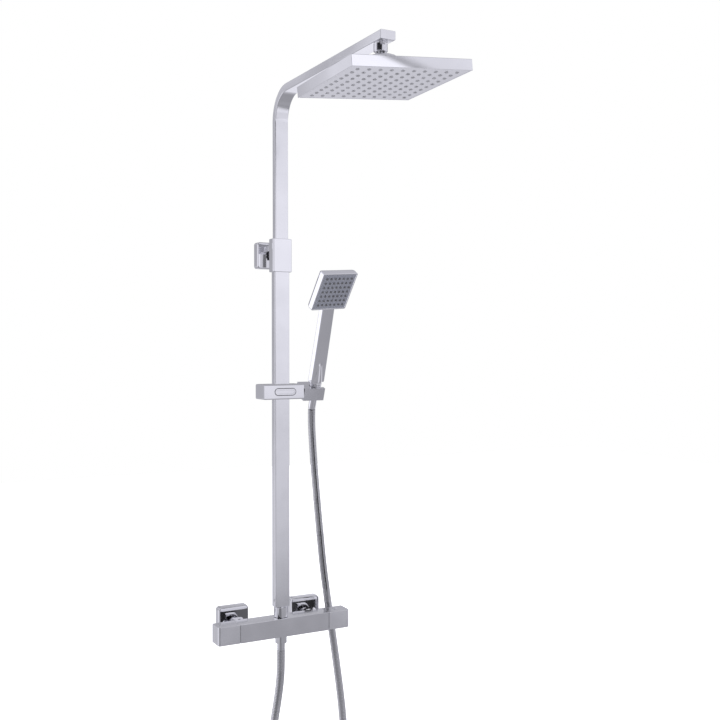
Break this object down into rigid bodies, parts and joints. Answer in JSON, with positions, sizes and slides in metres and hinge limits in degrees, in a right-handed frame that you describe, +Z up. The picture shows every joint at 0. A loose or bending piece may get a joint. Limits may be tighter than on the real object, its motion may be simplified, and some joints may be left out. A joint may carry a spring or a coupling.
{
  "type": "rainfall shower column",
  "caption": "Wall-mounted shower column: bar valve with end knobs, telescopic riser with tilting square rain head, sliding cradle with lift-off handset and hose.",
  "frame": {"origin": "on the wall surface, midway between the two water inlets", "axes": "+X to the user's right, -Y out from the wall into the room, +Z up"},
  "size_m": [0.2892, 0.5923, 1.4875],
  "materials": {
    "chrome": "polished",
    "satin_chrome": "satin",
    "brass": "machined",
    "steel": "satin",
    "black": "satin",
    "face_grey": "satin",
    "silicone": "matt",
    "rubber": "matt",
    "plastic": "matt",
    "hose": "metallised, gloss"
  },
  "bodies": {
    "wall_unit": {"valve_body": "chrome", "diverter_cartridge": "brass", "thermostatic_cartridge": "brass", "left_wall_flange": "chrome", "left_inlet_connector": "brass", "left_union_nut": "chrome", "left_inlet_washer": "rubber", "left_check_valve": "plastic", "right_wall_flange": "chrome", "right_inlet_connector": "brass", "right_union_nut": "chrome", "right_inlet_washer": "rubber", "right_check_valve": "plastic", "riser_union_nut": "chrome", "riser_washer": "rubber", "riser_foot": "brass", "lower_riser_tube": "chrome", "bracket_sleeve": "chrome", "bracket_arm": "chrome", "bracket_wall_flange": "chrome", "bracket_wall_plate": "steel", "bracket_fixing_screw": "steel", "bracket_lock_screw": "black", "hose_outlet_nut": "chrome", "hose_outlet_washer": "rubber", "hose_bottom_ferrule": "chrome", "hose_lower": "hose"},
    "flow_control": {"flow_knob": "chrome", "diverter_spindle": "brass", "flow_knob_grub_screw": "steel"},
    "temperature_control": {"temperature_knob": "chrome", "temperature_spindle": "brass", "temperature_knob_grub_screw": "steel", "stop_button_spring": "steel"},
    "temperature_stop": {"temperature_stop_button": "satin_chrome"},
    "riser": {"riser_arm": "chrome", "telescope_seal": "rubber", "arm_end_cap": "chrome", "ball_stud": "brass", "arm_swivel_nut": "chrome"},
    "head_side_tilt": {"ball_seat": "plastic"},
    "head_front_tilt": {"ball_slip_ring": "plastic"},
    "rain_head": {"rain_head_shell": "chrome", "rain_head_socket": "chrome", "rain_head_face": "face_grey", "rain_head_nozzle_mat": "silicone"},
    "slider": {"slider_body": "chrome", "slider_liner": "plastic", "cradle_pivot_pin": "steel", "release_button_spring": "steel", "hose_middle": "hose"},
    "slider_button": {"slider_release_button": "chrome"},
    "cradle": {"handset_cradle": "satin_chrome"},
    "hose_end": {"hose_cone_nut": "chrome", "hose_top_ferrule": "chrome", "handset_hose_washer": "rubber", "hose_upper": "hose"},
    "handset": {"handset_shell": "chrome", "handset_face": "face_grey", "handset_nozzle_mat": "silicone"}
  },
  "joints": [
    {"name": "flow_turn", "type": "hinge", "parent": "wall_unit", "child": "flow_control", "pos_m": [-0.1085, -0.0685, 0], "axis": [1, 0, 0], "range_deg": [-90, 90]},
    {"name": "temperature_turn", "type": "hinge", "parent": "wall_unit", "child": "temperature_control", "pos_m": [0.1142, -0.0685, 0], "axis": [1, 0, 0], "range_deg": [-140, 90]},
    {"name": "temperature_stop_press", "type": "slide", "parent": "temperature_control", "child": "temperature_stop", "axis": [0, 0, -1], "range_m": [0, 0.002], "stiffness_N_per_m": 900, "springref_m": -0.0005, "deforming": ["stop_button_spring"]},
    {"name": "riser_height", "type": "slide", "parent": "wall_unit", "child": "riser", "axis": [0, 0, 1], "range_m": [-0.14, 0.14]},
    {"name": "rain_head_side_tilt", "type": "hinge", "parent": "riser", "child": "head_side_tilt", "pos_m": [0, -0.45, 0.97], "axis": [1, 0, 0], "range_deg": [-10, 10]},
    {"name": "rain_head_front_tilt", "type": "hinge", "parent": "head_side_tilt", "child": "head_front_tilt", "pos_m": [0, -0.45, 0.97], "axis": [0, 1, 0], "range_deg": [-5, 15]},
    {"name": "rain_head_spin", "type": "hinge", "parent": "head_front_tilt", "child": "rain_head", "pos_m": [0, -0.45, 0.97], "axis": [-0.0878, 0.0038, 0.9961], "continuous": true},
    {"name": "slider_height", "type": "slide", "parent": "wall_unit", "child": "slider", "axis": [0, 0, 1], "range_m": [-0.3, 0.2], "deforming": ["hose_middle", "hose_lower"]},
    {"name": "slider_button_press", "type": "slide", "parent": "slider", "child": "slider_button", "axis": [0, 1, 0], "range_m": [0, 0.0025], "stiffness_N_per_m": 1000, "springref_m": -0.0005, "deforming": ["release_button_spring"]},
    {"name": "cradle_tilt", "type": "hinge", "parent": "slider", "child": "cradle", "pos_m": [0.035, -0.078, 0.4433], "axis": [1, 0, 0], "range_deg": [-19, 15], "deforming": ["hose_upper"]},
    {"name": "handset_lift", "type": "slide", "parent": "cradle", "child": "hose_end", "axis": [0, -0.3338, 0.9426], "range_m": [0, 0.05]},
    {"name": "handset_turn", "type": "hinge", "parent": "hose_end", "child": "handset", "pos_m": [0.0635, -0.08271, 0.44163], "axis": [0, -0.3338, 0.9426], "continuous": true}
  ]
}
